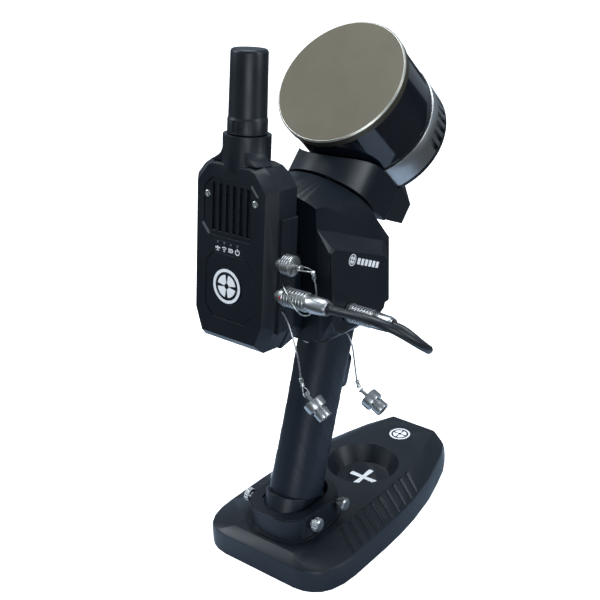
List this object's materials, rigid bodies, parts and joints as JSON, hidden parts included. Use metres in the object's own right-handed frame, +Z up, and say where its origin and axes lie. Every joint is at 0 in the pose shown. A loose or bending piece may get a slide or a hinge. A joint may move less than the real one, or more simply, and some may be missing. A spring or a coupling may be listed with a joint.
{
  "type": "handheld mobile scanner with gnss receiver module",
  "caption": "Handheld laser scanner with a turning tilted head, a positioning module with a rod antenna on its back, and a ground base plate with a socket.",
  "frame": {"origin": "on the underside of the base plate, on its middle line, 82 mm ahead of its rear edge", "axes": "+Z up, +Y the way the scanner faces, +X its right side, where the connectors are"},
  "size_m": [0.2039, 0.2385, 0.4041],
  "materials": {
    "charcoal_plastic": "fine moulded texture",
    "graphite_plastic": "fine moulded texture",
    "rubber": "matt, moulded",
    "nickel_metal": "turned and satin plated",
    "cap_aluminium": "bead blasted, anodised warm grey",
    "bare_aluminium": "turned",
    "dark_window": "polished, opaque to the eye",
    "lens_glass": "polished",
    "white_print": "printed",
    "circuit_board": "solder mask",
    "copper": "bare wire",
    "battery_wrap": "shrink wrap",
    "cable_jacket": "smooth jacket"
  },
  "bodies": {
    "base": {"base_plate": "charcoal_plastic", "base_bottom_cover": "graphite_plastic", "base_grip_pads": "rubber", "marker_cross": "white_print", "base_emblem": "white_print", "socket_collar": "graphite_plastic", "collar_bolts": "nickel_metal"},
    "clamp_rear_right": {"clamp_screw_rear_right": "nickel_metal"},
    "clamp_front_right": {"clamp_screw_front_right": "nickel_metal"},
    "clamp_front_left": {"clamp_screw_front_left": "nickel_metal"},
    "clamp_rear_left": {"clamp_screw_rear_left": "nickel_metal"},
    "head": {"turntable": "charcoal_plastic", "head_spindle": "nickel_metal", "lidar_bracket": "charcoal_plastic", "bracket_screws": "nickel_metal", "lidar_base": "bare_aluminium", "lidar_window": "dark_window", "lidar_cap": "cap_aluminium", "lidar_hub": "nickel_metal"},
    "laser_rotor": {"lidar_rotor": "graphite_plastic"},
    "trigger": {"trigger_button": "graphite_plastic"},
    "power_key": {"power_button": "nickel_metal"},
    "antenna": {"antenna_housing": "charcoal_plastic", "antenna_helix": "copper"},
    "jumper": {"module_plug": "nickel_metal", "body_plug": "nickel_metal", "jumper_cable": "cable_jacket"},
    "screwed_cap": {"upper_dust_cap": "nickel_metal"},
    "scanner": {"handle_frame": "graphite_plastic", "handle_grip": "rubber", "handle_foot": "graphite_plastic", "battery_pack": "battery_wrap", "main_housing": "charcoal_plastic", "bottom_cover": "charcoal_plastic", "right_side_panel": "graphite_plastic", "left_side_panel": "graphite_plastic", "front_camera": "graphite_plastic", "front_camera_glass": "lens_glass", "main_board": "circuit_board", "head_motor": "bare_aluminium", "head_bearing": "nickel_metal", "body_port": "nickel_metal", "module_case": "charcoal_plastic", "module_back_cover": "graphite_plastic", "module_bracket": "graphite_plastic", "heat_sink": "graphite_plastic", "heat_sink_screws": "nickel_metal", "status_lights": "white_print", "service_cover": "charcoal_plastic", "module_badge": "white_print", "module_port_upper": "nickel_metal", "module_port_lower": "nickel_metal", "module_board": "circuit_board", "antenna_connector": "nickel_metal", "upper_lanyard": "nickel_metal", "lower_lanyard": "nickel_metal", "lower_dust_cap": "nickel_metal", "body_lanyard": "nickel_metal", "body_dust_cap": "nickel_metal"}
  },
  "joints": [
    {"name": "scanner_lift", "type": "slide", "parent": "base", "child": "scanner", "axis": [0, 0.342, 0.9397], "range_m": [0, 0.03]},
    {"name": "clamp_rear_right_turn", "type": "hinge", "parent": "base", "child": "clamp_rear_right", "pos_m": [0, -0.049, 0.0385], "axis": [1, 0, 0], "continuous": true},
    {"name": "clamp_front_right_turn", "type": "hinge", "parent": "base", "child": "clamp_front_right", "pos_m": [0, -0.0155, 0.0385], "axis": [1, 0, 0], "continuous": true},
    {"name": "clamp_front_left_turn", "type": "hinge", "parent": "base", "child": "clamp_front_left", "pos_m": [0, -0.0155, 0.0385], "axis": [-1, 0, 0], "continuous": true},
    {"name": "clamp_rear_left_turn", "type": "hinge", "parent": "base", "child": "clamp_rear_left", "pos_m": [0, -0.049, 0.0385], "axis": [-1, 0, 0], "continuous": true},
    {"name": "head_turn", "type": "hinge", "parent": "scanner", "child": "head", "pos_m": [0, 0.02, 0.281], "axis": [0, 0.7071, 0.7071], "continuous": true},
    {"name": "laser_spin", "type": "hinge", "parent": "head", "child": "laser_rotor", "pos_m": [0, 0.06808, 0.32908], "axis": [0, 0.7071, -0.7071], "continuous": true},
    {"name": "trigger_press", "type": "slide", "parent": "scanner", "child": "trigger", "axis": [0, -0.9397, 0.342], "range_m": [0, 0.0025], "stiffness_N_per_m": 400, "springref_m": -0.0005},
    {"name": "power_press", "type": "slide", "parent": "scanner", "child": "power_key", "axis": [0, 0.9397, -0.342], "range_m": [0, 0.0015], "stiffness_N_per_m": 500, "springref_m": -0.0004},
    {"name": "antenna_unscrew", "type": "hinge", "parent": "scanner", "child": "antenna", "pos_m": [0, -0.069, 0.336], "axis": [0, 0.1219, 0.9925], "continuous": true},
    {"name": "jumper_pull", "type": "slide", "parent": "scanner", "child": "jumper", "axis": [1, 0, 0], "range_m": [0, 0.012]},
    {"name": "dust_cap_unscrew", "type": "hinge", "parent": "scanner", "child": "screwed_cap", "pos_m": [0.0385, -0.08033, 0.26838], "axis": [1, 0, 0], "continuous": true}
  ]
}
